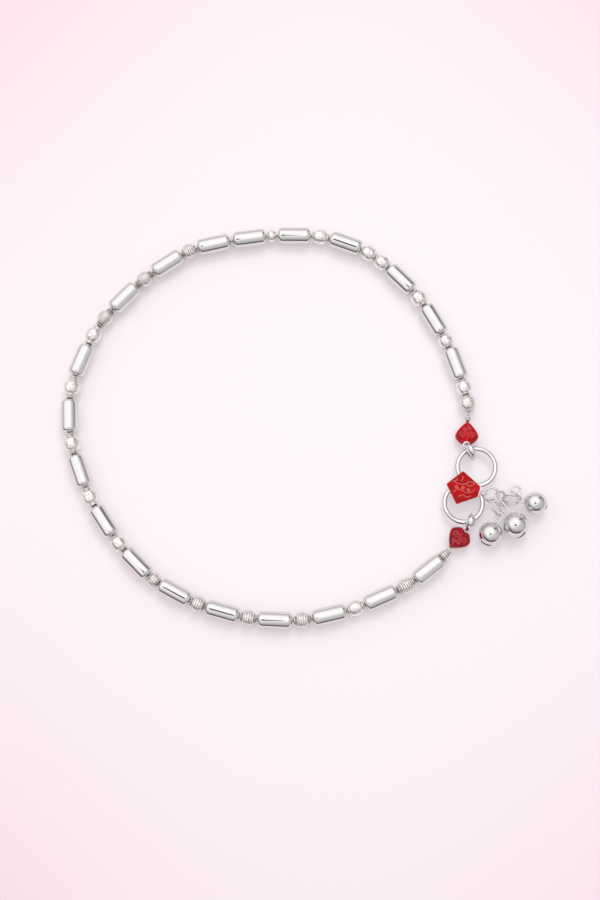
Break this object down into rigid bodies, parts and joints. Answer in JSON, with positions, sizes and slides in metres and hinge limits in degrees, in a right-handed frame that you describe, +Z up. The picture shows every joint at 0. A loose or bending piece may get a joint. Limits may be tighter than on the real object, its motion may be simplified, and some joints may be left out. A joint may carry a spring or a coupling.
{
  "type": "payal anklet",
  "caption": "Beaded silver anklet with enamelled hearts, a plaque on a pair of rings and a cluster of round bells, lying closed on a surface.",
  "frame": {"origin": "under the middle of the closed anklet's bounding box, on the plane it lies on", "axes": "+X from the middle of the loop towards the clasp, hearts and bells, +Y across the loop towards the upper heart's side, +Z up off the surface it lies on"},
  "size_m": [0.0966, 0.082, 0.0051],
  "materials": {
    "polished_silver": "polished sterling silver",
    "red_enamel": "glossy red enamel over engraved silver",
    "thread": "braided jewellery thread"
  },
  "bodies": {
    "root": {"thread": "thread", "knurled_1": "polished_silver", "ball_1": "polished_silver", "tube_1": "polished_silver", "ball_2": "polished_silver", "tube_2": "polished_silver", "ball_3": "polished_silver", "tube_3": "polished_silver", "ball_4": "polished_silver", "ball_5": "polished_silver", "tube_4": "polished_silver", "ball_6": "polished_silver", "tube_5": "polished_silver", "ball_7": "polished_silver", "tube_6": "polished_silver", "washer_1": "polished_silver", "tube_7": "polished_silver", "ribbed_1": "polished_silver", "tube_8": "polished_silver", "ribbed_2": "polished_silver", "tube_9": "polished_silver", "ribbed_3": "polished_silver", "ball_8": "polished_silver", "tube_10": "polished_silver", "ball_9": "polished_silver", "tube_11": "polished_silver", "ball_10": "polished_silver", "tube_12": "polished_silver", "ball_11": "polished_silver", "tube_13": "polished_silver", "ball_12": "polished_silver", "tube_14": "polished_silver", "ribbed_4": "polished_silver", "tube_15": "polished_silver", "ribbed_5": "polished_silver", "tube_16": "polished_silver", "ribbed_6": "polished_silver", "tube_17": "polished_silver", "ribbed_7": "polished_silver", "tube_18": "polished_silver", "ball_13": "polished_silver", "tube_19": "polished_silver", "coil_1": "polished_silver", "tube_20": "polished_silver", "cone_1": "polished_silver", "heart_upper": "red_enamel", "heart_lower": "red_enamel", "link_upper": "polished_silver", "link_lower": "polished_silver", "double_ring": "polished_silver", "plaque_enamel": "red_enamel", "jump_ring": "polished_silver", "cluster_ring": "polished_silver", "bell_ring_1": "polished_silver", "bell_ring_2": "polished_silver", "spare_link": "polished_silver", "spare_ring": "polished_silver", "bell_1": "polished_silver", "bell_2": "polished_silver", "bell_3": "polished_silver"}
  },
  "joints": []
}
